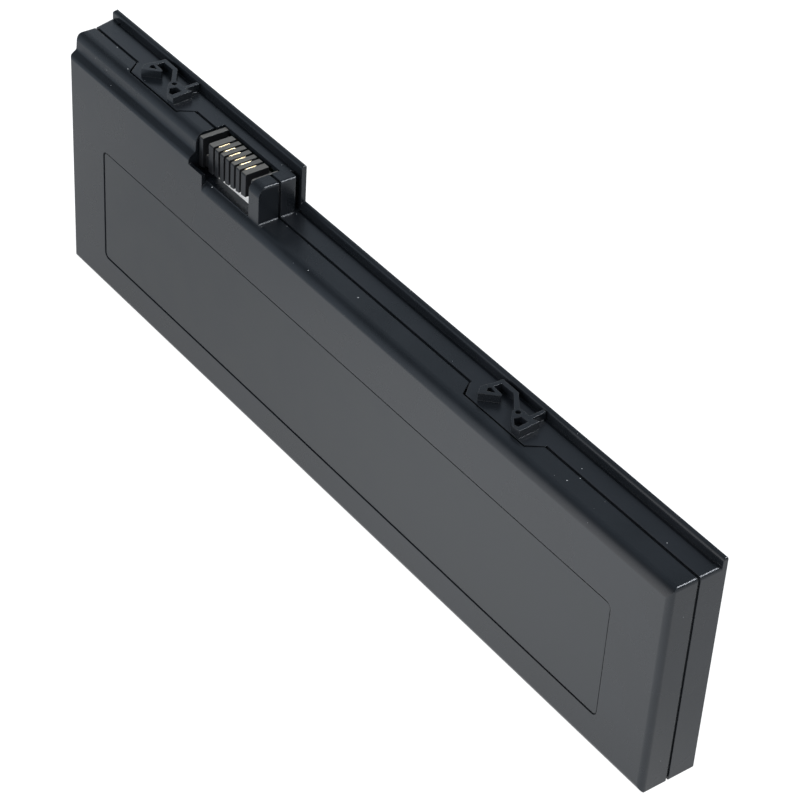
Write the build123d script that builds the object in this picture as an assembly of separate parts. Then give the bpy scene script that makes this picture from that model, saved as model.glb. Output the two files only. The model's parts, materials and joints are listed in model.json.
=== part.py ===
from build123d import *
import os

# Laptop battery pack, in millimetres: two moulded shells round six flat cells,
# with a protection board and a comb connector in the raised part at one end.
# It stands on its plain long edge.  While it is modelled, x runs from the left
# end face, y from the label face to the back and z up from the plain edge.

# Cells and what lies round them
CELL_COUNT = 6
CELLS_IN_PARALLEL = 2
CELL_WIDTH = 33.8
CELL_DEPTH = 10.2
CELL_HEIGHT = 47.0
CELL_CORNER = 3.0
CELL_GAP = 0.3
CELL_END_PLAY = 0.65
TERMINAL_RISE = 0.7
TERMINAL_WIDTH = 4.6
TAPE_THICKNESS = 0.4
TAPE_MARGIN = 9.0
LINK_THICKNESS = 0.2
PAPER_THICKNESS = 0.15
PAPER_MARGIN = 0.5
LEAD_DIAMETER = 0.9
LEAD_HEADROOM = 0.65

# Shells
WALL = 1.2
FRONT_FOOT_ROUND = 1.6
FRONT_TOP_ROUND = 2.3
BACK_EDGE_ROUND = 0.2
LEFT_FRONT_ROUND = 0.7
RIGHT_FRONT_ROUND = 1.3
END_TOP_ROUND = 0.8
END_FOOT_ROUND = 0.3
LEFT_FOOT_ROUND = 1.0
FLARE_REACH = 1.7
SEAM_GAP = 0.7
SEAM_SHIFT = 0.05
TONGUE_DEPTH = 0.5
TONGUE_LENGTH = 1.5
TONGUE_CLEARANCE = 0.05

# Upright lip along the top of the back shell, with a gutter at its inner foot
# and a groove between it and the end of the raised part
LIP_THICKNESS = 1.15
LIP_RISE = 1.9
LIP_EDGE_ROUND = 0.8
LIP_END_ROUND = 0.5
LIP_CORNER_ROUND = 1.0
GUTTER_WIDTH = 0.9
GUTTER_DEPTH = 0.3
GUTTER_MARGIN = 1.6
GROOVE_WIDTH = 1.3
GROOVE_DEPTH = 2.5
GROOVE_ROUND = 0.5

# Raised part over the board, with a sloped shoulder on the label side
RIDGE_LENGTH = 74.0
RIDGE_RISE = 8.8
RIDGE_SETBACK = 1.75
RIDGE_DRAFT = 0.3
RIDGE_ROUND = 2.2
RIDGE_END_ROUND = 0.6
RIDGE_LEFT_ROUND = 0.9
RIDGE_FOOT_ROUND = 0.4
SHOULDER_RISE = 3.3
SHOULDER_CLIMB = 1.15
SHOULDER_ROUND = 1.2
SHOULDER_VALLEY = 0.7

# Connector pocket, cut into the raised part from the label side up to the post at its end
POST_LENGTH = 3.7
POST_SETBACK = 1.4
POCKET_LENGTH = 21.0
POCKET_BACK = 9.2
RIM_LENGTH = 5.2
RIM_THICKNESS = 0.9
RIM_RISE = 1.85

# Comb connector
COMB_CLEARANCE_LEFT = 0.45
COMB_CLEARANCE = 0.3
COMB_BACK_CLEARANCE = 0.1
COMB_FRONT = 2.5
COMB_DROP = 0.4
COMB_LEFT_WALL = 1.3
COMB_RIGHT_WALL = 0.5
COMB_BACK_WALL = 0.45
COMB_ROUND = 0.45
RIB_COUNT = 7
RIB_PITCH = 2.0
RIB_WIDTH = 1.28
END_RIB_EXTRA = 0.4
RIB_BACK = 0.75
RIB_BACK_DROP = 1.6
APRON_DROP = 1.0
FIRST_RIB = 4.65
SLOT_FRONT_DEPTH = 0.9
SLOT_DEPTH = 4.4
COMB_TILT = 0.1075
COMB_FOOT_LEFT = 0.94
PAD_SETBACK = 1.6
PAD_BACK_CLEARANCE = 0.4

# Contact blades
BLADE_THICKNESS = 0.42
BLADE_SETBACK = 1.2
BLADE_LENGTH = 2.85
BLADE_DROP = 0.05
BLADE_ROUND = 0.3
BLADE_EDGE_ROUND = 0.19
TAIL_RISE = 1.0
TAIL_HEIGHT = 1.0
TAIL_CLEARANCE = 0.05

# Label
LABEL_LEFT = 13.9
LABEL_RIGHT = 14.5
LABEL_BOTTOM = 8.5
LABEL_HEIGHT = 29.3
LABEL_CORNER = 1.5
LABEL_RECESS = 0.35
LABEL_THICKNESS = 0.3
LABEL_CLEARANCE = 0.4
LABEL_SHIFT = (0.2, 0.12)

# Latch catches, moulded on the back shell, each on a pad that jogs the seam.
# Their outlines run along the pack from the pad's start and across it from a line in front of the lip.
CATCH_TO_POCKET = 7.3
CATCH_PITCH = 122.1
CATCH_LINE = 2.0
CATCH_RISE = 1.8
CATCH_ROOT = 0.3
CATCH_RIB = 1.0
CATCH_STAY = 0.85
CATCH_BOSS = 1.1
CATCH_HOLE = 0.6
CATCH_BOSS_PLACE = (14.5, -4.15)
CATCH_TAB = ((5.65, -7.1), (8.8, -3.85), (8.5, -3.4), (4.45, -3.2), (4.25, -5.5))
CATCH_TAB_WINDOW = ((6.05, -5.3), (7.45, -4.15), (5.55, -3.75), (5.35, -4.4))
CATCH_ARCH = ((5.15, -3.6), (5.3, -0.8), (9.6, -0.8), (13.6, -3.75))
CATCH_FRAME = ((13.5, -4.8), (15.15, -6.4), (17.05, -7.7), (19.25, -7.5), (19.0, -2.5), (17.7, -3.1), (14.9, -3.0))
CATCH_FRAME_WINDOW = ((15.55, -6.0), (15.95, -4.5), (17.9, -4.4), (18.05, -6.95), (17.15, -7.2))
CATCH_STAY_LINE = ((17.05, -3.3), (16.9, 0.45))
PAD_WIDTH = 24.2
PAD_REACH = 3.6
PAD_SLANT = 2.5
PAD_GAP = 0.4

# Circuit board and what is soldered to it
BOARD_START = 3.0
BOARD_END_CLEARANCE = 0.7
BOARD_THICKNESS = 1.0
BOARD_STANDOFF = 0.7
BOARD_HEADROOM = 0.3
BOARD_REST_WIDTH = 1.6
BOARD_REST_STARTS = (9.0, 40.0)
CHIP_BASE = 1.2
CHIP_SIZES = {
    "controller_chip": (7.8, 1.1, 4.4),
    "discharge_transistor": (4.9, 1.5, 3.9),
    "charge_transistor": (4.9, 1.5, 3.9),
    "cell_fuse": (5.6, 1.8, 3.8),
    "sense_resistor": (3.2, 0.7, 5.4),
}
SMALL_PART_COLUMNS = 3
SMALL_PART_ROWS = 2
SMALL_PART_SIZE = (0.8, 0.6, 1.6)
SMALL_PART_GAP = 0.35
LEAD_BEND = 1.2
LEAD_RISE = 3.2
THERMISTOR_DIAMETER = 2.2
THERMISTOR_LEG = 0.45
THERMISTOR_SPAN = 1.1

# Terminals across the cells, as (front, back) from a cell's middle, and along them
NEGATIVE_LANE = (-1.5, 1.5)
POSITIVE_LANE = (-4.4, -2.0)
POSITIVE_SHIFT = 11.0
LEAD_LANES = (0.0, -0.8, 0.8, -3.2)

# Order of the parts along the board, from its left end
BOARD_ROW = (
    "chip_parts",
    "lead_1",
    "controller_chip",
    "thermistor",
    "discharge_transistor",
    "lead_2",
    "charge_transistor",
    "lead_3",
    "cell_fuse",
    "lead_4",
    "sense_resistor",
)

# Sizes worked out from the ones above
BODY_LENGTH = CELL_COUNT * CELL_WIDTH + (CELL_COUNT - 1) * CELL_GAP + 2 * (CELL_END_PLAY + WALL)
THICKNESS = CELL_DEPTH + 2 * (TAPE_THICKNESS + WALL)
CELL_TOP = WALL + CELL_HEIGHT
TERMINAL_TOP = CELL_TOP + TERMINAL_RISE
LINK_TOP = TERMINAL_TOP + LINK_THICKNESS
PAPER_TOP = LINK_TOP + PAPER_THICKNESS
LEAD_LEVEL = PAPER_TOP + LEAD_DIAMETER / 2
BODY_TOP = PAPER_TOP + LEAD_DIAMETER + LEAD_HEADROOM + WALL
RIDGE_TOP = BODY_TOP + RIDGE_RISE
SEAM = THICKNESS / 2 + SEAM_SHIFT
CELL_MIDDLE = THICKNESS / 2
GROUPS = CELL_COUNT // CELLS_IN_PARALLEL
HALF_TERMINAL = TERMINAL_WIDTH / 2
POCKET_END = RIDGE_LENGTH - POST_LENGTH
POCKET_START = POCKET_END - POCKET_LENGTH
RIM_END = POCKET_START + RIM_LENGTH
CATCH_START = POCKET_START - CATCH_TO_POCKET - PAD_WIDTH
COMB_START = POCKET_START + COMB_CLEARANCE_LEFT
COMB_END = POCKET_END - COMB_CLEARANCE
COMB_BACK = POCKET_BACK - COMB_BACK_CLEARANCE
COMB_TOP = RIDGE_TOP - COMB_DROP
SLOT_FLOOR = COMB_TOP - SLOT_DEPTH
COMB_FOOT = BODY_TOP + COMB_FOOT_LEFT
COMB_FOOT_RIGHT = COMB_FOOT + COMB_TILT * (COMB_END - COMB_START)
BOARD_FACE = COMB_BACK + BOARD_STANDOFF
BOARD_BACK = BOARD_FACE + BOARD_THICKNESS
BOARD_END = POCKET_END - BOARD_END_CLEARANCE
BOARD_TOP = RIDGE_TOP - WALL - BOARD_HEADROOM
CENTRE = (BODY_LENGTH - FLARE_REACH) / 2
FAR = 3 * (RIDGE_TOP + THICKNESS)


def block(x0, x1, y0, y1, z0, z1):
    """Box between two opposite corners."""
    return Pos((x0 + x1) / 2, (y0 + y1) / 2, (z0 + z1) / 2) * Box(x1 - x0, y1 - y0, z1 - z0)


def outline(*corners):
    """Closed face through corners given as (u, v) or, where rounded, (u, v, radius)."""
    face = make_face(Polyline(*[corner[:2] for corner in corners], close=True))
    for corner in corners:
        if len(corner) == 3:
            face = fillet(face.vertices().sort_by_distance(corner[:2])[0], corner[2])
    return face


def along_x(face, x0, x1):
    """Carry a (y, z) outline along the length."""
    return extrude(Plane.YZ.offset(x0) * face, x1 - x0)


def along_y(face, y0, y1):
    """Carry an (x, z) outline through the thickness."""
    return extrude(Plane.XZ.offset(-y0) * face, y0 - y1)


def along_z(face, z0, z1):
    """Carry an (x, y) outline upwards."""
    return extrude(Plane.XY.offset(z0) * face, z1 - z0)


def flared(face):
    """Carry an (x, z) outline through the thickness, its left end leaning out behind the seam."""
    lean = Vector(-FLARE_REACH, THICKNESS - SEAM, 0)
    behind = extrude(Plane.XZ.offset(-SEAM) * face, lean.length, dir=lean.normalized())
    return along_y(face, 0, THICKNESS) + behind


def plan():
    """Rounded corners of the pack seen from above; its left end is left open behind the first of them."""
    return outline(
        (0, 0, LEFT_FRONT_ROUND),
        (BODY_LENGTH, 0, RIGHT_FRONT_ROUND),
        (BODY_LENGTH, THICKNESS, BACK_EDGE_ROUND),
        (-FAR, THICKNESS),
        (-FAR, 2 * LEFT_FRONT_ROUND),
        (0, 2 * LEFT_FRONT_ROUND),
    )


def body():
    """Main body without its lip: one section along the whole length, ends rounded."""
    section = outline(
        (0, 0, FRONT_FOOT_ROUND),
        (THICKNESS, 0, BACK_EDGE_ROUND),
        (THICKNESS, BODY_TOP),
        (0, BODY_TOP, FRONT_TOP_ROUND),
    )
    face_on = outline(
        (0, 0, LEFT_FOOT_ROUND),
        (BODY_LENGTH, 0, END_FOOT_ROUND),
        (BODY_LENGTH, BODY_TOP, END_TOP_ROUND),
        (0, BODY_TOP),
    )
    return along_x(section, -FLARE_REACH, BODY_LENGTH) & flared(face_on)


def ridge():
    """Raised part: its sloped shoulder stops at the end of the pocket's rim, its end has a hollow foot."""
    foot_end = RIDGE_LENGTH + 2 * RIDGE_FOOT_ROUND
    shouldered = outline(
        (0, BODY_TOP - FRONT_TOP_ROUND),
        (THICKNESS, BODY_TOP - FRONT_TOP_ROUND),
        (THICKNESS, RIDGE_TOP),
        (RIDGE_SETBACK + RIDGE_DRAFT, RIDGE_TOP, RIDGE_ROUND),
        (RIDGE_SETBACK, BODY_TOP + SHOULDER_RISE + SHOULDER_CLIMB, SHOULDER_VALLEY),
        (0, BODY_TOP + SHOULDER_RISE, SHOULDER_ROUND),
    )
    plain = outline(
        (POST_SETBACK, BODY_TOP - WALL),
        (THICKNESS, BODY_TOP - WALL),
        (THICKNESS, RIDGE_TOP),
        (POST_SETBACK, RIDGE_TOP, RIDGE_ROUND),
    )
    face_on = outline(
        (0, BODY_TOP - FRONT_TOP_ROUND),
        (foot_end, BODY_TOP - FRONT_TOP_ROUND),
        (foot_end, BODY_TOP),
        (RIDGE_LENGTH, BODY_TOP, RIDGE_FOOT_ROUND),
        (RIDGE_LENGTH, RIDGE_TOP, RIDGE_END_ROUND),
        (0, RIDGE_TOP, RIDGE_LEFT_ROUND),
    )
    raised = along_x(shouldered, -FLARE_REACH, RIM_END) + along_x(plain, RIM_END, foot_end)
    return raised & flared(face_on)


def lip(x0, x1, top):
    """Upright lip along the back of a top face."""
    inner = THICKNESS - LIP_THICKNESS
    section = outline(
        (inner, top - WALL),
        (THICKNESS, top - WALL),
        (THICKNESS, top + LIP_RISE, BACK_EDGE_ROUND),
        (inner, top + LIP_RISE, LIP_EDGE_ROUND),
    )
    return along_x(section, x0, x1)


def lip_ends(x0, x1, top, left_round, right_round):
    """Rounded ends of a lip, seen from the front."""
    return outline(
        (x0, top - WALL),
        (x1, top - WALL),
        (x1, top + LIP_RISE, right_round),
        (x0, top + LIP_RISE, left_round),
    )


def gutter():
    """Shallow channel at the lip's inner foot, and a groove down the raised part's end with a rounded edge."""
    y1 = THICKNESS - LIP_THICKNESS
    y0 = y1 - GUTTER_WIDTH
    high = block(GUTTER_MARGIN, RIDGE_LENGTH, y0, y1, RIDGE_TOP - GUTTER_DEPTH, RIDGE_TOP)
    low = block(RIDGE_LENGTH, BODY_LENGTH - GUTTER_MARGIN, y0, y1, BODY_TOP - GUTTER_DEPTH, BODY_TOP)
    groove_front = y1 - GROOVE_WIDTH
    clear_front = groove_front - 2 * GROOVE_ROUND
    groove = outline(
        (RIDGE_LENGTH - GROOVE_DEPTH, groove_front),
        (RIDGE_LENGTH, groove_front, GROOVE_ROUND),
        (RIDGE_LENGTH, clear_front),
        (RIDGE_LENGTH + WALL, clear_front),
        (RIDGE_LENGTH + WALL, y1),
        (RIDGE_LENGTH - GROOVE_DEPTH, y1),
    )
    return high + low + along_z(groove, BODY_TOP, RIDGE_TOP)


def pocket():
    """Room for the connector, open to the top and the label side, with a low rim at its left."""
    opening = outline(
        (POCKET_START, -FAR),
        (POCKET_END, -FAR),
        (POCKET_END, POCKET_BACK),
        (POCKET_START, POCKET_BACK),
    )
    rim = block(POCKET_START, RIM_END, -FAR, RIM_THICKNESS, BODY_TOP, BODY_TOP + RIM_RISE)
    return along_z(opening, BODY_TOP, FAR) - rim


def envelope():
    """Outside of both shells together."""
    low_start = RIDGE_LENGTH - LIP_RISE
    low_ends = lip_ends(low_start, BODY_LENGTH, BODY_TOP, LIP_END_ROUND, LIP_END_ROUND)
    low_lip = lip(low_start, BODY_LENGTH, BODY_TOP) & along_y(low_ends, 0, THICKNESS)
    high_ends = lip_ends(0, RIDGE_LENGTH, RIDGE_TOP, LIP_CORNER_ROUND, LIP_END_ROUND)
    high_lip = lip(-FLARE_REACH, RIDGE_LENGTH, RIDGE_TOP) & flared(high_ends)
    outside = body() + ridge() + low_lip + high_lip
    return (outside & along_z(plan(), 0, RIDGE_TOP + LIP_RISE)) - pocket() - gutter()


def inside(inset):
    """Room behind a wall of the given thickness, up to the connector pocket."""
    main = block(inset, BODY_LENGTH - inset, inset, THICKNESS - inset, inset, BODY_TOP - inset)
    raised = block(
        inset, POCKET_START - inset,
        RIDGE_SETBACK + inset, THICKNESS - inset,
        BODY_TOP - 2 * WALL, RIDGE_TOP - inset,
    )
    return main + raised


def cavity():
    """Room for the cells and the board, which passes behind the connector."""
    passage = block(
        POCKET_START - 2 * WALL, POCKET_END,
        POCKET_BACK, THICKNESS - WALL,
        BODY_TOP, RIDGE_TOP - WALL,
    )
    return inside(WALL) + passage


def tongue(inset):
    """Inner half of the wall at the seam, also across the end post of the pocket."""
    post = block(
        POCKET_END + inset, RIDGE_LENGTH - inset,
        RIDGE_SETBACK, THICKNESS,
        BODY_TOP - WALL, RIDGE_TOP - inset,
    )
    slab = block(-FAR, BODY_LENGTH + FAR, SEAM - TONGUE_LENGTH, SEAM + SEAM_GAP, -FAR, FAR)
    return (inside(inset) + post) & slab


def catch_pad(start, inset, z0, z1):
    """Slanted tab of the back shell's top wall that reaches into the front shell."""
    tab = outline(
        (start + inset, SEAM + SEAM_GAP),
        (start + inset, SEAM),
        (start + PAD_SLANT + inset, SEAM - PAD_REACH + inset),
        (start + PAD_WIDTH - PAD_SLANT - inset, SEAM - PAD_REACH + inset),
        (start + PAD_WIDTH - inset, SEAM),
        (start + PAD_WIDTH - inset, SEAM + SEAM_GAP),
    )
    return along_z(tab, z0, z1)


def catch(start, top):
    """Latch catch: a tab frame, an arched rib by the lip, a bored boss and a bar frame."""
    tab = outline(*CATCH_TAB) - outline(*CATCH_TAB_WINDOW)
    arch = trace(Polyline(*CATCH_ARCH), CATCH_RIB)
    frame = outline(*CATCH_FRAME) - outline(*CATCH_FRAME_WINDOW)
    stay = trace(Polyline(*CATCH_STAY_LINE), CATCH_STAY)
    boss = Pos(CATCH_BOSS_PLACE) * Circle(CATCH_BOSS)
    bore = Pos(CATCH_BOSS_PLACE) * Circle(CATCH_HOLE)
    shape = tab + arch + frame + stay + boss - bore
    return along_z(Pos(start, THICKNESS - CATCH_LINE) * shape, top - CATCH_ROOT, top + CATCH_RISE)


def catches():
    """Start and top face of each catch: one on the raised part, one on the low part."""
    return ((CATCH_START, RIDGE_TOP), (CATCH_START + CATCH_PITCH, BODY_TOP))


def label_outline(inset):
    """Round-cornered label seen from the front."""
    left = LABEL_LEFT + inset
    right = BODY_LENGTH - LABEL_RIGHT - inset
    low = LABEL_BOTTOM + inset
    high = LABEL_BOTTOM + LABEL_HEIGHT - inset
    corner = LABEL_CORNER - inset
    return outline((left, low, corner), (right, low, corner), (right, high, corner), (left, high, corner))


def front_shell():
    """Label-side shell, with a rebate for the tongue and a notch for each catch pad."""
    half = block(-FAR, BODY_LENGTH + FAR, -FAR, SEAM - SEAM_GAP / 2, -FAR, FAR)
    shell = (envelope() & half) - cavity() - tongue(TONGUE_DEPTH - TONGUE_CLEARANCE)
    shell -= along_y(label_outline(0), -WALL, LABEL_RECESS)
    for start, top in catches():
        shell -= catch_pad(start, 0, top - WALL - TONGUE_CLEARANCE, top + CATCH_RISE)
    return shell


def back_shell():
    """Back shell, with the lip, the tongue, the catches and two rests for the board."""
    half = block(-FAR, BODY_LENGTH + FAR, SEAM + SEAM_GAP / 2, FAR, -FAR, FAR)
    shell = (envelope() & half) - cavity()
    shell += (tongue(TONGUE_DEPTH) & envelope()) - cavity()
    for start, top in catches():
        shell += catch_pad(start, PAD_GAP, top - WALL, top) & envelope()
        shell += catch(start, top)
    for start in BOARD_REST_STARTS:
        shell += block(
            start, start + BOARD_REST_WIDTH,
            BOARD_BACK, THICKNESS - WALL / 2,
            BODY_TOP, RIDGE_TOP - WALL / 2,
        )
    return shell


def label():
    """Bare label film on the floor of its recess."""
    film = Pos(LABEL_SHIFT) * label_outline(LABEL_CLEARANCE)
    return along_y(film, LABEL_RECESS - LABEL_THICKNESS, LABEL_RECESS)


def comb_below():
    """Everything under the comb's sloping foot."""
    slope = outline(
        (COMB_START - FAR, COMB_FOOT - COMB_TILT * FAR),
        (COMB_END + FAR, COMB_FOOT_RIGHT + COMB_TILT * FAR),
        (COMB_END + FAR, -2 * FAR),
        (COMB_START - FAR, -2 * FAR),
    )
    return along_y(slope, -FAR, FAR)


def rib_middle(number):
    """Middle of a comb rib along the length."""
    return COMB_START + FIRST_RIB + RIB_PITCH * number


def blade_middle(number):
    """Middle of the slot that holds a contact blade."""
    return rib_middle(number) + RIB_PITCH / 2


def connector_housing():
    """Comb of ribs between two end walls, open to the top and the label side."""
    section = outline(
        (COMB_FRONT, BODY_TOP),
        (COMB_BACK, BODY_TOP),
        (COMB_BACK, COMB_TOP),
        (COMB_FRONT, COMB_TOP, COMB_ROUND),
    )
    housing = along_x(section, COMB_START, COMB_END) - comb_below()
    edges = [COMB_START + COMB_LEFT_WALL]
    for number in range(RIB_COUNT):
        edges += [rib_middle(number) - RIB_WIDTH / 2, rib_middle(number) + RIB_WIDTH / 2]
    edges += [COMB_END - COMB_RIGHT_WALL]
    edges[1] -= END_RIB_EXTRA
    edges[-2] += END_RIB_EXTRA
    slot_back = COMB_BACK - COMB_BACK_WALL
    slot_front = COMB_FRONT + SLOT_FRONT_DEPTH
    for x0, x1 in zip(edges[::2], edges[1::2]):
        housing -= block(x0, x1, -FAR, slot_front, -FAR, FAR)
        housing -= block(x0, x1, COMB_FRONT, slot_back, SLOT_FLOOR, FAR)
    housing -= block(edges[0], edges[-1], COMB_BACK - RIB_BACK, FAR, COMB_TOP - RIB_BACK_DROP, FAR)
    for number in range(RIB_COUNT - 1):
        reach = BLADE_THICKNESS / 2 + TAIL_CLEARANCE
        housing -= block(
            blade_middle(number) - reach, blade_middle(number) + reach,
            slot_back - COMB_BACK_WALL, FAR,
            SLOT_FLOOR + TAIL_RISE - TAIL_CLEARANCE, SLOT_FLOOR + TAIL_RISE + TAIL_HEIGHT + TAIL_CLEARANCE,
        )
    apron_back = COMB_FRONT + PAD_SETBACK - COMB_BACK_CLEARANCE
    return housing + block(edges[-2], COMB_END, slot_front, apron_back, COMB_FOOT_RIGHT - APRON_DROP, SLOT_FLOOR)


def contact_blade(number):
    """Upright round-topped blade in a slot, with a tail through the comb's back wall to the board."""
    front = COMB_FRONT + BLADE_SETBACK
    back = front + BLADE_LENGTH
    top = COMB_TOP - BLADE_DROP
    profile = outline(
        (front, SLOT_FLOOR),
        (back, SLOT_FLOOR),
        (back, SLOT_FLOOR + TAIL_RISE),
        (BOARD_FACE, SLOT_FLOOR + TAIL_RISE),
        (BOARD_FACE, SLOT_FLOOR + TAIL_RISE + TAIL_HEIGHT),
        (back, SLOT_FLOOR + TAIL_RISE + TAIL_HEIGHT),
        (back, top, BLADE_ROUND),
        (front, top, BLADE_ROUND),
    )
    x0 = blade_middle(number) - BLADE_THICKNESS / 2
    x1 = blade_middle(number) + BLADE_THICKNESS / 2
    section = outline((x0, SLOT_FLOOR), (x1, SLOT_FLOOR), (x1, top, BLADE_EDGE_ROUND), (x0, top, BLADE_EDGE_ROUND))
    return along_x(profile, x0, x1) & along_y(section, front, BOARD_FACE)


def connector_pad():
    """Soft insulating pad on the pocket floor that carries the comb."""
    pad = block(
        RIM_END, COMB_END,
        COMB_FRONT + PAD_SETBACK, COMB_BACK - PAD_BACK_CLEARANCE,
        BODY_TOP, COMB_TOP,
    )
    return pad & comb_below()


def circuit_board():
    """Narrow board on edge behind the connector, on the pocket floor."""
    return block(BOARD_START, BOARD_END, BOARD_FACE, BOARD_BACK, BODY_TOP, BOARD_TOP)


def board_length(name):
    """Length that a part takes along the board."""
    if name in CHIP_SIZES:
        return CHIP_SIZES[name][0]
    if name == "chip_parts":
        return SMALL_PART_COLUMNS * (SMALL_PART_SIZE[0] + SMALL_PART_GAP) - SMALL_PART_GAP
    if name == "thermistor":
        return THERMISTOR_SPAN + THERMISTOR_LEG
    return LEAD_DIAMETER


def board_gap():
    """Even gap between the parts, from the board's left end to the pocket's wall."""
    room = POCKET_START - WALL - BOARD_START
    return (room - sum(board_length(name) for name in BOARD_ROW)) / (len(BOARD_ROW) + 1)


def board_place(name):
    """Where a part starts along the board: after those before it, with a gap to each."""
    earlier = BOARD_ROW[: BOARD_ROW.index(name)]
    return BOARD_START + board_gap() + sum(board_length(other) + board_gap() for other in earlier)


def chip(name):
    """Moulded part soldered to the board's face."""
    length, depth, height = CHIP_SIZES[name]
    start = board_place(name)
    low = BODY_TOP + CHIP_BASE
    return block(start, start + length, BOARD_FACE - depth, BOARD_FACE, low, low + height)


def cell_middle(number):
    """Middle of a cell along the length."""
    return WALL + CELL_END_PLAY + CELL_WIDTH / 2 + number * (CELL_WIDTH + CELL_GAP)


def terminal(number, shift, lane):
    """Raised terminal on a cell's cover: shift along the cell, lane across it."""
    middle = cell_middle(number) + shift
    return block(
        middle - HALF_TERMINAL, middle + HALF_TERMINAL,
        CELL_MIDDLE + lane[0], CELL_MIDDLE + lane[1],
        CELL_TOP, TERMINAL_TOP,
    )


def cell(number):
    """Flat can with round corners, a negative button and a positive tab on its cover."""
    x0 = cell_middle(number) - CELL_WIDTH / 2
    x1 = cell_middle(number) + CELL_WIDTH / 2
    y0 = CELL_MIDDLE - CELL_DEPTH / 2
    y1 = CELL_MIDDLE + CELL_DEPTH / 2
    can = outline((x0, y0, CELL_CORNER), (x1, y0, CELL_CORNER), (x1, y1, CELL_CORNER), (x0, y1, CELL_CORNER))
    button = terminal(number, 0, NEGATIVE_LANE)
    tab = terminal(number, POSITIVE_SHIFT, POSITIVE_LANE)
    return along_z(can, WALL, CELL_TOP) + button + tab


def ribbon(x0, x1, lane):
    """Flat run of a cell link on the terminals."""
    return block(x0, x1, CELL_MIDDLE + lane[0], CELL_MIDDLE + lane[1], TERMINAL_TOP, LINK_TOP)


def lead_tab(x, y):
    """Upright end of a cell link that a lead is soldered to."""
    return block(
        x - LINK_THICKNESS, x,
        y - LEAD_DIAMETER / 2, y + LEAD_DIAMETER / 2,
        TERMINAL_TOP, LEAD_LEVEL + LEAD_DIAMETER / 2,
    )


def link_positive_start(group):
    """Left edge of the positive tab on a group's first cell."""
    return cell_middle(group * CELLS_IN_PARALLEL) + POSITIVE_SHIFT - HALF_TERMINAL


def link_positive_end(group):
    """Right edge of the positive tab on a group's last cell."""
    return cell_middle((group + 1) * CELLS_IN_PARALLEL - 1) + POSITIVE_SHIFT + HALF_TERMINAL


def link_negative_start(group):
    """Left edge of the negative button on a group's first cell."""
    return cell_middle(group * CELLS_IN_PARALLEL) - HALF_TERMINAL


def link_negative_end(group):
    """Right edge of the negative button on a group's last cell."""
    return cell_middle((group + 1) * CELLS_IN_PARALLEL - 1) + HALF_TERMINAL


def lead_start(number):
    """Where a lead leaves its link: the first by the button, the last by the tab."""
    if number == 0:
        return link_negative_start(0)
    if number == GROUPS:
        return link_positive_start(GROUPS - 1)
    return link_positive_end(number - 1)


def cell_link(number):
    """Welded strip: positive tabs of one group of cells to the buttons of the next."""
    link = lead_tab(lead_start(number), CELL_MIDDLE + LEAD_LANES[number])
    if number > 0:
        link += ribbon(link_positive_start(number - 1), link_positive_end(number - 1), POSITIVE_LANE)
    if number < GROUPS:
        link += ribbon(link_negative_start(number), link_negative_end(number), NEGATIVE_LANE)
    if 0 < number < GROUPS:
        cross = (POSITIVE_LANE[0], NEGATIVE_LANE[1])
        turn = link_positive_end(number - 1)
        link += ribbon(turn - HALF_TERMINAL, turn, cross)
        link += ribbon(turn - HALF_TERMINAL, link_negative_start(number), NEGATIVE_LANE)
    return link


def wire(points, diameter):
    """Round wire along points, with each corner turned in two mitred steps."""
    route = [Vector(points[0])]
    for before, corner, after in zip(points, points[1:], points[2:]):
        for neighbour in (before, after):
            step = Vector(neighbour) - Vector(corner)
            route.append(Vector(corner) + step.normalized() * LEAD_BEND)
    route.append(Vector(points[-1]))
    path = Polyline(*route)
    section = Plane(origin=path @ 0, z_dir=path % 0) * Circle(diameter / 2)
    return sweep(section, path=path, transition=Transition.RIGHT)


def lead(number):
    """Insulated lead from a cell link, over the paper, up to the board's face."""
    y = CELL_MIDDLE + LEAD_LANES[number]
    x = board_place(f"lead_{number + 1}") + LEAD_DIAMETER / 2
    level = BODY_TOP + LEAD_RISE
    return wire(
        [
            (lead_start(number) - LINK_THICKNESS, y, LEAD_LEVEL),
            (x, y, LEAD_LEVEL),
            (x, y, level),
            (x, BOARD_FACE, level),
        ],
        LEAD_DIAMETER,
    )


def insulating_paper():
    """Sheet over the cell links, slit where the lead tabs come through."""
    paper = block(
        WALL + PAPER_MARGIN, BODY_LENGTH - WALL - PAPER_MARGIN,
        WALL + PAPER_MARGIN, THICKNESS - WALL - PAPER_MARGIN,
        LINK_TOP, PAPER_TOP,
    )
    for number in range(GROUPS + 1):
        x = lead_start(number)
        y = CELL_MIDDLE + LEAD_LANES[number]
        reach = LEAD_DIAMETER / 2 + TAIL_CLEARANCE
        paper -= block(
            x - LINK_THICKNESS - TAIL_CLEARANCE, x + TAIL_CLEARANCE,
            y - reach, y + reach,
            LINK_TOP, PAPER_TOP,
        )
    return paper


def tape(y0):
    """Double-sided tape between the cells and a shell."""
    return block(
        WALL + TAPE_MARGIN, BODY_LENGTH - WALL - TAPE_MARGIN,
        y0, y0 + TAPE_THICKNESS,
        WALL + TAPE_MARGIN, CELL_TOP - TAPE_MARGIN,
    )


def thermistor():
    """Round bead on the paper over the first cells, on two legs bent to the board."""
    x = board_place("thermistor") + board_length("thermistor") / 2
    y = CELL_MIDDLE - THERMISTOR_DIAMETER
    z = PAPER_TOP + THERMISTOR_DIAMETER / 2
    bead = Pos(x, y, z) * Cylinder(THERMISTOR_DIAMETER / 2, THERMISTOR_DIAMETER)
    level = BODY_TOP + CHIP_BASE / 2
    for side in (-1, 1):
        leg_x = x + side * THERMISTOR_SPAN / 2
        bead += wire([(leg_x, y, z), (leg_x, y, level), (leg_x, BOARD_FACE, level)], THERMISTOR_LEG)
    return bead


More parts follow.
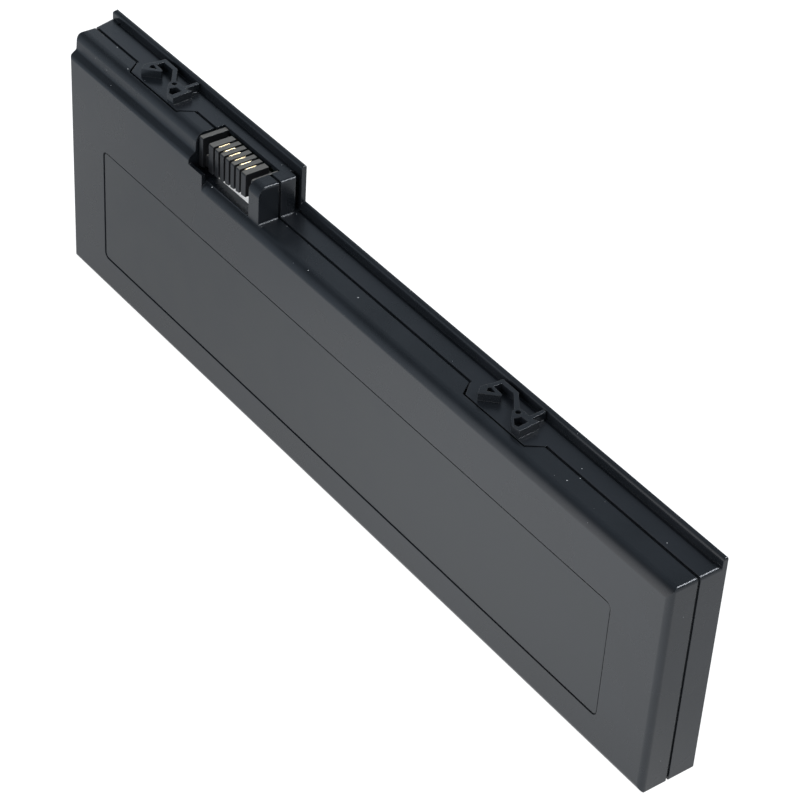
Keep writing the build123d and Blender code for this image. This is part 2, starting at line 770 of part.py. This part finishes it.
def chip_parts():
    """Small chip resistors and capacitors, in rows and columns on the board's face."""
    length, depth, height = SMALL_PART_SIZE
    pieces = []
    for column in range(SMALL_PART_COLUMNS):
        for row in range(SMALL_PART_ROWS):
            x = board_place("chip_parts") + (length + SMALL_PART_GAP) * column
            z = BODY_TOP + CHIP_BASE + (height + SMALL_PART_GAP) * row
            pieces.append(block(x, x + length, BOARD_FACE - depth, BOARD_FACE, z, z + height))
    return Compound(pieces)


def parts():
    """Every node of the pack, by name."""
    nodes = {
        "front_shell": front_shell(),
        "back_shell": back_shell(),
        "label_plate": label(),
        "connector_housing": connector_housing(),
        "connector_pad": connector_pad(),
        "circuit_board": circuit_board(),
        "chip_parts": chip_parts(),
        "thermistor": thermistor(),
        "insulating_paper": insulating_paper(),
        "front_tape": tape(WALL),
        "back_tape": tape(THICKNESS - WALL - TAPE_THICKNESS),
    }
    for name in CHIP_SIZES:
        nodes[name] = chip(name)
    for number in range(RIB_COUNT - 1):
        nodes[f"contact_blade_{number + 1}"] = contact_blade(number)
    for number in range(CELL_COUNT):
        nodes[f"cell_{number + 1}"] = cell(number)
    for number in range(GROUPS + 1):
        nodes[f"cell_link_{number + 1}"] = cell_link(number)
        nodes[f"lead_{number + 1}"] = lead(number)
    return nodes


os.makedirs("parts", exist_ok=True)
for name, node in parts().items():
    export_step(Pos(-CENTRE, -THICKNESS / 2, 0) * node, f"parts/{name}.step")
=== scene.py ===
import json
import math

import bpy
from mathutils import Matrix, Vector


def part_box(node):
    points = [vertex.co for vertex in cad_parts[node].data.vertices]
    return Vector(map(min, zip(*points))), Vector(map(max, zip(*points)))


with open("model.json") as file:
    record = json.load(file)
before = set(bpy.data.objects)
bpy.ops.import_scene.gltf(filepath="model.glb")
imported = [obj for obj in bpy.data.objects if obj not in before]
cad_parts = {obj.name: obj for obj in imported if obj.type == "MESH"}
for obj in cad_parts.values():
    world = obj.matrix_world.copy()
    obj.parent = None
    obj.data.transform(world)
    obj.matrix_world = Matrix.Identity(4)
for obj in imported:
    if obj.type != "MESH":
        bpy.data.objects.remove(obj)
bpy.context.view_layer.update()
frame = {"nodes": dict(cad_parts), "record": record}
scene = bpy.context.scene
nodes = frame["nodes"]

# Lengths are in metres, as in the frame
MM = 0.001

# Camera, from a fit of the pack's straight edges to the photo's square frame
CAMERA_PLACE = Vector((351.64, -267.58, 371.25)) * MM
CAMERA_AIM = Vector((23.96, -6.70, 41.57)) * MM
CAMERA_ROLL = math.radians(3.8)
SENSOR_WIDTH = 36.0
LENS = 120.74

# Tones of the outside, as given sRGB values: each finish drifts between two
CHARCOAL = ((22, 26, 30), (28, 32, 37))
BACK_CHARCOAL = ((26, 30, 34), (32, 35, 40))
LABEL_TONE = ((24, 29, 32), (29, 33, 37))
COMB_BLACK = ((22, 23, 25), (30, 31, 33))
PAD_WHITE = ((255, 255, 255), (250, 250, 250))
GILT = ((255, 238, 200), (250, 226, 178))
# Edges: a paler tone, partly wear and partly a painted highlight
EDGE_WEAR_AND_SHEEN_TONE = (78, 81, 86)
# Painted shade: the near-black tone that seams, slots and inner corners are darkened towards
PAINTED_HOLLOW_SHADE = (13, 14, 16)
DUST_TONE = (226, 228, 230)
# Painted light: the paler tone that top faces are lightened towards, as if lit from above
TOP_LIGHT_TONE = (124, 121, 115)

# Tones of the inside
CAN_METAL = ((206, 208, 212), (176, 179, 184))
NICKEL = ((196, 192, 184), (158, 154, 146))
SLEEVE_RED = ((176, 28, 24), (148, 24, 22))
SLEEVE_BLACK = ((34, 34, 35), (48, 48, 49))
MASK_GREEN = ((8, 27, 19), (14, 37, 27))
EPOXY = ((32, 32, 34), (46, 46, 48))
CERAMIC_TAN = ((160, 132, 98), (136, 108, 78))
CERAMIC_WHITE = ((226, 224, 216), (206, 204, 196))
BEAD_BROWN = ((72, 50, 38), (98, 72, 56))
PAPER_GREY = ((150, 160, 148), (122, 134, 122))
TAPE_WHITE = ((226, 226, 220), (204, 204, 198))
TIN = (198, 198, 200)
VIA_GILT = (206, 176, 110)

# Surface detail: a range gives where a mask starts and where it is full
GRAIN_DEPTH = 0.02 * MM
EDGE_RADIUS = 0.18 * MM
FOIL_EDGE_RADIUS = 0.03 * MM
# Edge wear and painted highlight: strength of the lightening
EDGE_WEAR_AND_SHEEN = 0.35
EDGE_SAMPLES = 4
# Range of the edge wear and painted highlight mask
WEAR_AND_SHEEN_RANGE = (0.99, 0.8)
# Painted shade of seams and corners: reach, samples and range of its mask
HOLLOW_REACH = 0.6 * MM
HOLLOW_SAMPLES = 6
HOLLOW_RANGE = (0.6, 0.3)
DUST_CELLS = 420
DUST_RADIUS = 0.07
DUST_SLOPE = (-0.2, 0.6)
# Painted top-face light: the range of upward slope over which it comes in
TOP_LIGHT_SLOPE = (0.6, 0.95)
MOTTLE_STEP = 60
MOTTLE_RANGE = (0.3, 0.7)
STREAK_RANGE = (0.28, 0.72)
ROUGHNESS_DRIFT = 0.06
GLAZE_FINENESS = 9000
GLAZE_RELIEF = 0.2
GLAZE_ROUGHNESS = 0.3
LANE_SCALE = 420
LANE_RANGE = (0.45, 0.6)
LANE_RELIEF = 0.4
VIA_SCALE = 480
VIA_RADIUS = 0.16
MASK_ROUGHNESS = 0.35
GLOSS_TINT = (0.88, 0.93, 1.0, 1.0)
CAP_LENGTH = 0.3 * MM
SMALL_PART_PITCH = 1.95 * MM
SMALL_PART_HEIGHT = 1.6 * MM

# How far a streak pattern is drawn out along each axis
EVEN = (1, 1, 1)
ALONG_LENGTH = (0.04, 1, 1)
UPRIGHT = (1, 1, 0.04)
ALONG_BLADE = (1, 0.06, 0.06)
PAPER_FIBRE = (0.2, 1, 1)
TAPE_FIBRE = (1, 1, 0.3)

# Moulded finishes by slot: tones, fineness of the grain, roughness, relief, share of specks, share of painted
# top-face light
MOULDED = {
    "shell_plastic": (CHARCOAL, 4200, 0.25, 0.3, 0.8, 0.0),
    "shell_plastic_back": (BACK_CHARCOAL, 4200, 0.25, 0.3, 0.8, 0.0),
    "label_film": (LABEL_TONE, 7000, 0.28, 0.2, 0.2, 0.0),
    "connector_plastic": (COMB_BLACK, 3000, 0.36, 0.2, 0.2, 0.95),
}

# Streaked finishes by slot: tones, stretch, fineness, roughness, relief, metal, radius of soft edges
STREAKED = {
    "pad_white": (PAD_WHITE, EVEN, 2600, 0.8, 0.1, 0.0, EDGE_RADIUS),
    "contact_gilt": (GILT, ALONG_BLADE, 9000, 0.38, 0.03, 1.0, FOIL_EDGE_RADIUS),
    "cell_can": (CAN_METAL, UPRIGHT, 5000, 0.34, 0.25, 1.0, EDGE_RADIUS),
    "link_nickel": (NICKEL, ALONG_LENGTH, 6000, 0.3, 0.2, 1.0, EDGE_RADIUS),
    "lead_red": (SLEEVE_RED, EVEN, 1500, 0.34, 0.1, 0.0, EDGE_RADIUS),
    "lead_black": (SLEEVE_BLACK, EVEN, 1500, 0.34, 0.1, 0.0, EDGE_RADIUS),
    "chip_black": (EPOXY, EVEN, 9000, 0.55, 0.4, 0.0, EDGE_RADIUS),
    "thermistor_bead": (BEAD_BROWN, EVEN, 2400, 0.25, 0.2, 0.0, EDGE_RADIUS),
    "insulating_paper": (PAPER_GREY, PAPER_FIBRE, 3600, 0.75, 0.5, 0.0, EDGE_RADIUS),
    "tape_white": (TAPE_WHITE, TAPE_FIBRE, 2400, 0.6, 0.4, 0.0, EDGE_RADIUS),
}

# Studio
BACKDROP_WHITE = 1.0
WORLD_AMBIENT = 0.3
FLOOR_SIZE = 8.0
FLOOR_GLOW = 0.93
FLOOR_MATT = 0.4
FLOOR_PALE = 0.8
# Painted light: a pool of glow in the floor that only reflections see, brightest in front of the pack
POOL_MIDDLE = (0.065, -0.125, 0)
POOL_SQUEEZE = (1, 2.5, 1)
POOL_FADE = (0.04, 0.19)
POOL_BRIGHT = 1.05
POOL_DIM = 0.6
CEILING_HEIGHT = 0.9
CEILING_SIZE = 5.0
STUDIO_TINT = (226, 238, 250)
CEILING_DIM = 0.34
CEILING_BRIGHT = 0.8
CEILING_FADE = (-0.6, -1.7)
CARD_PLACE = -0.068
CARD_REACH = (-0.6, 0.2)
CARD_TOP = 0.5
CARD_TURN = (-0.05, 0.05)
CARD_FADE = (0.04, 0.15)
CARD_LEFT = 0.63
CARD_RIGHT = 1.5
CARD_DIM = 0.2
CARD_WARM = (255, 250, 246)
LAMP_TARGET = Vector((0, 0, 0.03))
FRONT_LAMP_PLACE = (0.25, -1.1, 0.45)
FRONT_LAMP_SIZE = 0.8
FRONT_LAMP_POWER = 7
END_LAMP_PLACE = (0.37, 0.52, 0.85)
END_LAMP_SIZE = 0.16
END_LAMP_POWER = 2.4
GLINT_SIZE = 0.12
GLINT_POWER = 4


def linear(colour):
    """Scene-linear colour of an sRGB triple from 0 to 255: the standard two-part curve."""
    parts = [value / 255 for value in colour]
    curved = [v / 12.92 if v <= 0.04045 else ((v + 0.055) / 1.055) ** 2.4 for v in parts]
    return (*curved, 1.0)


def fill(tree, placed, inputs):
    """Give each input of a node a plain value or a link."""
    for key, value in inputs.items():
        if isinstance(value, bpy.types.NodeSocket):
            tree.links.new(value, placed.inputs[key])
        else:
            placed.inputs[key].default_value = value
    return placed.outputs


def node(tree, kind, inputs, **settings):
    """Outputs of a new shader node, made with its settings and inputs."""
    made = tree.nodes.new("ShaderNode" + kind)
    for key, value in settings.items():
        setattr(made, key, value)
    return fill(tree, made, inputs)


def reckon(tree, operation, first, second=0.0):
    """Result of one math step on two values or sockets."""
    return node(tree, "Math", {0: first, 1: second}, operation=operation)[0]


def ramp(tree, value, low, high):
    """Value carried smoothly from nought at low to one at high."""
    inputs = {"Value": value, "From Min": low, "From Max": high}
    return node(tree, "MapRange", inputs, interpolation_type="SMOOTHSTEP")["Result"]


def blend(tree, factor, first, second):
    """Colour between two, by a factor."""
    return node(tree, "Mix", {"Factor": factor, "A": first, "B": second}, data_type="RGBA")["Result"]


def new_group(name, inputs, outputs):
    """Empty shader node group: inputs as (name, kind), outputs as (name, kind)."""
    tree = bpy.data.node_groups.new(name, "ShaderNodeTree")
    for label, kind in inputs:
        tree.interface.new_socket(label, in_out="INPUT", socket_type="NodeSocket" + kind)
    for label, kind in outputs:
        tree.interface.new_socket(label, in_out="OUTPUT", socket_type="NodeSocket" + kind)
    given = tree.nodes.new("NodeGroupInput")
    results = tree.nodes.new("NodeGroupOutput")
    return tree, given.outputs, results


def grain_group():
    """Moulded grain: a fine noise for the height and one that is many times slower for the mottle."""
    tree, given, results = new_group(
        "moulded_grain",
        [("Vector", "Vector"), ("Fineness", "Float")],
        [("Height", "Float"), ("Mottle", "Float")],
    )
    fine = node(tree, "TexNoise", {"Vector": given["Vector"], "Scale": given["Fineness"], "Detail": 3.0})
    slow_scale = reckon(tree, "DIVIDE", given["Fineness"], MOTTLE_STEP)
    slow = node(tree, "TexNoise", {"Vector": given["Vector"], "Scale": slow_scale, "Detail": 4.0})
    fill(tree, results, {"Height": fine[0], "Mottle": ramp(tree, slow[0], *MOTTLE_RANGE)})
    return tree


def edge_group():
    """Softened edges: the normal averaged within a radius, and a mask of wear and painted highlight where it
    leaves the true one.
    """
    tree, given, results = new_group(
        "soft_edges",
        [("Radius", "Float")],
        [("Normal", "Vector"), ("WearAndSheen", "Float")],
    )
    soft = node(tree, "Bevel", {"Radius": given["Radius"]}, samples=EDGE_SAMPLES)
    true = node(tree, "NewGeometry", {})
    likeness = node(tree, "VectorMath", {0: soft[0], 1: true["Normal"]}, operation="DOT_PRODUCT")["Value"]
    fill(tree, results, {"Normal": soft[0], "WearAndSheen": ramp(tree, likeness, *WEAR_AND_SHEEN_RANGE)})
    return tree


def painted_shade_group():
    """Painted shade of seams, slots and inner corners: how much of the open half-space is blocked within a
    reach.
    """
    tree, given, results = new_group("painted_hollow_shade", [("Reach", "Float")], [("Shade", "Float")])
    reach = {"Distance": given["Reach"]}
    open_share = node(tree, "AmbientOcclusion", reach, samples=HOLLOW_SAMPLES)["AO"]
    fill(tree, results, {"Shade": ramp(tree, open_share, *HOLLOW_RANGE)})
    return tree


def dust_and_top_light_group():
    """Settled specks: small balls round some of a cell pattern's points, most of them on faces that look up.

    The level tells how nearly a face is level, for the painted light that lightens top faces only.
    """
    tree, given, results = new_group(
        "settled_dust_and_top_light",
        [("Vector", "Vector"), ("Share", "Float")],
        [("Mask", "Float"), ("Level", "Float")],
    )
    cells = node(tree, "TexVoronoi", {"Vector": given["Vector"], "Scale": DUST_CELLS})
    chance = node(tree, "SeparateColor", {"Color": cells["Color"]})
    radius = reckon(tree, "MULTIPLY", chance["Green"], DUST_RADIUS)
    ball = reckon(tree, "LESS_THAN", cells["Distance"], radius)
    kept = reckon(tree, "LESS_THAN", chance["Red"], given["Share"])
    upward = node(tree, "SeparateXYZ", {"Vector": node(tree, "NewGeometry", {})["Normal"]})["Z"]
    level = ramp(tree, upward, *DUST_SLOPE)
    settled = reckon(tree, "MULTIPLY", reckon(tree, "MULTIPLY", ball, kept), level)
    fill(tree, results, {"Mask": settled, "Level": ramp(tree, upward, *TOP_LIGHT_SLOPE)})
    return tree


def streak_group():
    """Drawn, rolled or fibrous streaks: a noise on coordinates that are stretched along an axis."""
    tree, given, results = new_group(
        "streaks",
        [("Vector", "Vector"), ("Stretch", "Vector"), ("Fineness", "Float")],
        [("Value", "Float")],
    )
    drawn = node(tree, "VectorMath", {0: given["Vector"], 1: given["Stretch"]}, operation="MULTIPLY")[0]
    noise = node(tree, "TexNoise", {"Vector": drawn, "Scale": given["Fineness"], "Detail": 4.0})
    fill(tree, results, {"Value": ramp(tree, noise[0], *STREAK_RANGE)})
    return tree


def cap_group():
    """End caps: one within a cap's length of either end of a part that repeats at a pitch."""
    tree, given, results = new_group(
        "end_caps",
        [("Place", "Float"), ("Start", "Float"), ("Pitch", "Float"), ("Length", "Float")],
        [("Mask", "Float")],
    )
    offset = reckon(tree, "SUBTRACT", given["Place"], given["Start"])
    along = reckon(tree, "FLOORED_MODULO", offset, given["Pitch"])
    low = reckon(tree, "LESS_THAN", along, CAP_LENGTH)
    high = reckon(tree, "GREATER_THAN", along, reckon(tree, "SUBTRACT", given["Length"], CAP_LENGTH))
    fill(tree, results, {"Mask": reckon(tree, "MAXIMUM", low, high)})
    return tree


def use(tree, group, inputs):
    """Outputs of a node group placed in a material."""
    return node(tree, "Group", inputs, node_tree=group)


def new_tree(name):
    """Empty node material, its principled shader joined to the output, and the Object coordinates."""
    material = bpy.data.materials.new(name)
    material.use_nodes = True
    tree = material.node_tree
    tree.nodes.clear()
    output = tree.nodes.new("ShaderNodeOutputMaterial")
    shader = tree.nodes.new("ShaderNodeBsdfPrincipled")
    tree.links.new(shader.outputs["BSDF"], output.inputs["Surface"])
    place = node(tree, "TexCoord", {})["Object"]
    return material, tree, shader, place


def moulded_plastic(name, tones, fineness, roughness, relief, specks, top_light):
    """Satin plastic: mottled tone, painted light on top faces, edges paler from wear and painted highlight,
    painted shade in seams and corners, dust and a fine grain.
    """
    material, tree, shader, place = new_tree(name)
    grain = use(tree, GRAIN, {"Vector": place, "Fineness": fineness})
    edges = use(tree, EDGES, {"Radius": EDGE_RADIUS})
    hollow_shade = use(tree, PAINTED_SHADE_GROUP, {"Reach": HOLLOW_REACH})
    dust_and_top_light = use(tree, DUST_AND_TOP_LIGHT, {"Vector": place, "Share": specks})
    tone = blend(tree, grain["Mottle"], linear(tones[0]), linear(tones[1]))
    # Painted light: top faces lightened towards a paler tone
    tone = blend(tree, reckon(tree, "MULTIPLY", dust_and_top_light["Level"], top_light), tone, linear(TOP_LIGHT_TONE))
    # Edges lightened: partly wear, partly a painted highlight
    tone = blend(tree, reckon(tree, "MULTIPLY", edges["WearAndSheen"], EDGE_WEAR_AND_SHEEN), tone, linear(EDGE_WEAR_AND_SHEEN_TONE))
    # Painted shade: seams, slots and inner corners darkened by how much of the space round them is blocked
    tone = blend(tree, hollow_shade["Shade"], tone, linear(PAINTED_HOLLOW_SHADE))
    tone = blend(tree, dust_and_top_light["Mask"], tone, linear(DUST_TONE))
    drift = reckon(tree, "MULTIPLY", grain["Mottle"], ROUGHNESS_DRIFT)
    bump = node(
        tree,
        "Bump",
        {"Height": grain["Height"], "Normal": edges["Normal"], "Strength": relief, "Distance": GRAIN_DEPTH},
    )
    fill(tree, shader, {"Base Color": tone, "Normal": bump[0], "Specular Tint": GLOSS_TINT})
    fill(tree, shader, {"Roughness": reckon(tree, "ADD", drift, roughness)})
    return material


def streaked(name, tones, stretch, fineness, roughness, relief, metal, edge):
    """Metal, sleeve, paper or tape: two tones by a streak pattern that also drives roughness and relief."""
    material, tree, shader, place = new_tree(name)
    streak = use(tree, STREAKS, {"Vector": place, "Stretch": stretch, "Fineness": fineness})["Value"]
    edges = use(tree, EDGES, {"Radius": edge})
    tone = blend(tree, streak, linear(tones[0]), linear(tones[1]))
    drift = reckon(tree, "MULTIPLY", streak, ROUGHNESS_DRIFT)
    bump = node(
        tree,
        "Bump",
        {"Height": streak, "Normal": edges["Normal"], "Strength": relief, "Distance": GRAIN_DEPTH},
    )
    fill(tree, shader, {"Base Color": tone, "Normal": bump[0], "Metallic": metal})
    fill(tree, shader, {"Roughness": reckon(tree, "ADD", drift, roughness)})
    return material


def capped_ceramic(name, tones, axis, start, pitch, length):
    """Ceramic part with tinned ends: mottled body, and metal within a cap's length of each end."""
    material, tree, shader, place = new_tree(name)
    grain = use(tree, GRAIN, {"Vector": place, "Fineness": GLAZE_FINENESS})
    along = node(tree, "SeparateXYZ", {"Vector": place})[axis]
    caps = use(tree, CAPS, {"Place": along, "Start": start, "Pitch": pitch, "Length": length})["Mask"]
    tone = blend(tree, grain["Mottle"], linear(tones[0]), linear(tones[1]))
    tone = blend(tree, caps, tone, linear(TIN))
    bump = node(tree, "Bump", {"Height": grain["Height"], "Strength": GLAZE_RELIEF, "Distance": GRAIN_DEPTH})
    fill(tree, shader, {"Base Color": tone, "Metallic": caps, "Normal": bump[0]})
    fill(tree, shader, {"Roughness": reckon(tree, "MAXIMUM", grain["Mottle"], GLAZE_ROUGHNESS)})
    return material


def printed_board(name, tones):
    """Green solder mask: raised lanes from a banded wave, and gilt dots from a cell pattern."""
    material, tree, shader, place = new_tree(name)
    lanes = node(
        tree,
        "TexWave",
        {"Vector": place, "Scale": LANE_SCALE, "Distortion": 3.0, "Detail": 0.0, "Detail Scale": 0.6},
        bands_direction="Z",
    )[1]
    trace = ramp(tree, lanes, *LANE_RANGE)
    cells = node(tree, "TexVoronoi", {"Vector": place, "Scale": VIA_SCALE})
    via = reckon(tree, "LESS_THAN", cells["Distance"], VIA_RADIUS)
    tone = blend(tree, trace, linear(tones[0]), linear(tones[1]))
    tone = blend(tree, via, tone, linear(VIA_GILT))
    bump = node(tree, "Bump", {"Height": trace, "Strength": LANE_RELIEF, "Distance": GRAIN_DEPTH})
    fill(tree, shader, {"Base Color": tone, "Metallic": via, "Normal": bump[0]})
    fill(tree, shader, {"Roughness": MASK_ROUGHNESS})
    return material


def finishes():
    """Material of every slot in the record."""
    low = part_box("chip_parts")[0]
    fuse_low, fuse_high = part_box("cell_fuse")
    fuse_length = fuse_high.x - fuse_low.x
    chip_spread = (low.z, SMALL_PART_PITCH, SMALL_PART_HEIGHT)
    fuse_spread = (fuse_low.x, 2 * fuse_length, fuse_length)
    made = {slot: moulded_plastic(slot, *values) for slot, values in MOULDED.items()}
    made.update({slot: streaked(slot, *values) for slot, values in STREAKED.items()})
    made["board_laminate"] = printed_board("board_laminate", MASK_GREEN)
    made["chip_tan"] = capped_ceramic("chip_tan", CERAMIC_TAN, "Z", *chip_spread)
    made["fuse_white"] = capped_ceramic("fuse_white", CERAMIC_WHITE, "X", *fuse_spread)
    return made


def dress():
    """Put each slot's material on its CAD nodes."""
    by_slot = finishes()
    for piece in frame["record"]["subparts"]:
        mesh = nodes[piece["node"]].data
        if not mesh.materials:
            mesh.materials.append(None)
        for index in range(len(mesh.materials)):
            mesh.materials[index] = by_slot[piece["material_slot"]]


def build_camera():
    """Camera at the fitted place, aimed at the label face and rolled a little."""
    data = bpy.data.cameras.new("camera")
    data.sensor_width = SENSOR_WIDTH
    data.lens = LENS
    data.clip_end = 10
    camera = bpy.data.objects.new("camera", data)
    aim = (CAMERA_AIM - CAMERA_PLACE).to_track_quat("-Z", "Y").to_matrix()
    turn = aim @ Matrix.Rotation(CAMERA_ROLL, 3, "Z")
    camera.matrix_world = Matrix.Translation(CAMERA_PLACE) @ turn.to_4x4()
    scene.collection.objects.link(camera)
    scene.camera = camera


def seen(tree):
    """One where a ray comes from the camera, a mirror or glass, and nought elsewhere."""
    path = node(tree, "LightPath", {})
    either = reckon(tree, "MAXIMUM", path["Is Camera Ray"], path["Is Glossy Ray"])
    return reckon(tree, "MAXIMUM", either, path["Is Transmission Ray"])


def build_world():
    """White where it is seen, an even soft light to the pack."""
    world = bpy.data.worlds.new("studio")
    scene.world = world
    world.use_nodes = True
    tree = world.node_tree
    tree.nodes.clear()
    output = tree.nodes.new("ShaderNodeOutputWorld")
    strength = node(tree, "Mix", {"Factor": seen(tree), "A": WORLD_AMBIENT, "B": BACKDROP_WHITE})["Result"]
    light = node(tree, "Background", {"Color": (1, 1, 1, 1), "Strength": strength})
    tree.links.new(light[0], output.inputs["Surface"])


def stage_sheet(name, corners):
    """Flat sheet of the studio through four corners, with an empty material."""
    mesh = bpy.data.meshes.new(name)
    mesh.from_pydata(corners, [], [(0, 1, 2, 3)])
    sheet = bpy.data.objects.new(name, mesh)
    scene.collection.objects.link(sheet)
    material = bpy.data.materials.new(name)
    material.use_nodes = True
    material.node_tree.nodes.clear()
    mesh.materials.append(material)
    return sheet, material.node_tree


def level_square(size, height):
    """Corners of a level square about the middle of the studio."""
    half = size / 2
    return [(-half, -half, height), (half, -half, height), (half, half, height), (-half, half, height)]


def build_floor():
    """Pale floor: matt to the light, and white where it is seen, less the shadow on it.

    In gloss it glows as a painted pool of light, brightest in front of the pack and dimming with the distance
    from there.
    """
    _, tree = stage_sheet("floor", level_square(FLOOR_SIZE, 0))
    output = tree.nodes.new("ShaderNodeOutputMaterial")
    place = node(tree, "TexCoord", {})["Object"]
    squeezed = node(tree, "VectorMath", {0: place, 1: POOL_SQUEEZE}, operation="MULTIPLY")["Vector"]
    away = node(tree, "VectorMath", {0: squeezed, 1: POOL_MIDDLE}, operation="DISTANCE")["Value"]
    fade = ramp(tree, away, *POOL_FADE)
    # Painted pool of light, for reflections only
    painted_pool = node(tree, "Mix", {"Factor": fade, "A": POOL_BRIGHT, "B": POOL_DIM})["Result"]
    direct = node(tree, "LightPath", {})["Is Camera Ray"]
    strength = node(tree, "Mix", {"Factor": direct, "A": painted_pool, "B": FLOOR_GLOW})["Result"]
    matt = node(tree, "BsdfDiffuse", {"Color": (FLOOR_PALE, FLOOR_PALE, FLOOR_PALE, 1)})
    shaded = node(tree, "BsdfDiffuse", {"Color": (FLOOR_MATT, FLOOR_MATT, FLOOR_MATT, 1)})
    glow = node(tree, "Emission", {"Strength": strength})
    white = node(tree, "AddShader", {0: shaded[0], 1: glow[0]})
    mixed = node(tree, "MixShader", {0: seen(tree), 1: matt[0], 2: white[0]})
    tree.links.new(mixed[0], output.inputs["Surface"])


def build_ceiling():
    """Dim soft ceiling that the top faces mirror, brighter to the left; the camera looks through it."""
    sheet, tree = stage_sheet("ceiling", level_square(CEILING_SIZE, CEILING_HEIGHT))
    sheet.visible_camera = False
    output = tree.nodes.new("ShaderNodeOutputMaterial")
    along = node(tree, "SeparateXYZ", {"Vector": node(tree, "TexCoord", {})["Object"]})["X"]
    rise = ramp(tree, along, *CEILING_FADE)
    strength = node(tree, "Mix", {"Factor": rise, "A": CEILING_DIM, "B": CEILING_BRIGHT})["Result"]
    glow = node(tree, "Emission", {"Color": linear(STUDIO_TINT), "Strength": strength})
    tree.links.new(glow[0], output.inputs["Surface"])


def build_card():
    """Upright card in front, which only gloss mirrors: dimmer upwards, dimmer and cooler towards its left."""
    left, right = CARD_REACH
    y = CARD_PLACE
    corners = [(left, y, 0), (right, y, 0), (right, y, CARD_TOP), (left, y, CARD_TOP)]
    sheet, tree = stage_sheet("card", corners)
    sheet.visible_camera = False
    sheet.visible_diffuse = False
    sheet.visible_shadow = False
    output = tree.nodes.new("ShaderNodeOutputMaterial")
    place = node(tree, "SeparateXYZ", {"Vector": node(tree, "TexCoord", {})["Object"]})
    turn = ramp(tree, place["X"], *CARD_TURN)
    rise = ramp(tree, place["Z"], *CARD_FADE)
    low = node(tree, "Mix", {"Factor": turn, "A": CARD_LEFT, "B": CARD_RIGHT})["Result"]
    strength = node(tree, "Mix", {"Factor": rise, "A": low, "B": CARD_DIM})["Result"]
    colour = blend(tree, turn, linear(STUDIO_TINT), linear(CARD_WARM))
    glow = node(tree, "Emission", {"Color": colour, "Strength": strength})
    tree.links.new(glow[0], output.inputs["Surface"])


def area_lamp(name, place, size, power):
    """Soft square lamp at a place, aimed at the pack."""
    data = bpy.data.lights.new(name, "AREA")
    data.size = size
    data.energy = power
    lamp = bpy.data.objects.new(name, data)
    lamp.location = place
    lamp.rotation_euler = (LAMP_TARGET - Vector(place)).to_track_quat("-Z", "Y").to_euler()
    scene.collection.objects.link(lamp)
    return lamp


GRAIN = grain_group()
EDGES = edge_group()
PAINTED_SHADE_GROUP = painted_shade_group()
DUST_AND_TOP_LIGHT = dust_and_top_light_group()
STREAKS = streak_group()
CAPS = cap_group()

scene.view_settings.view_transform = "Standard"
build_camera()
build_world()
build_floor()
build_ceiling()
build_card()
area_lamp("front_lamp", FRONT_LAMP_PLACE, FRONT_LAMP_SIZE, FRONT_LAMP_POWER)
area_lamp("end_lamp", END_LAMP_PLACE, END_LAMP_SIZE, END_LAMP_POWER)
# Only gloss mirrors this lamp, so it draws the bright lines along the edges and adds no light elsewhere
glint = area_lamp("glint_lamp", END_LAMP_PLACE, GLINT_SIZE, GLINT_POWER)
glint.visible_diffuse = False
dress()
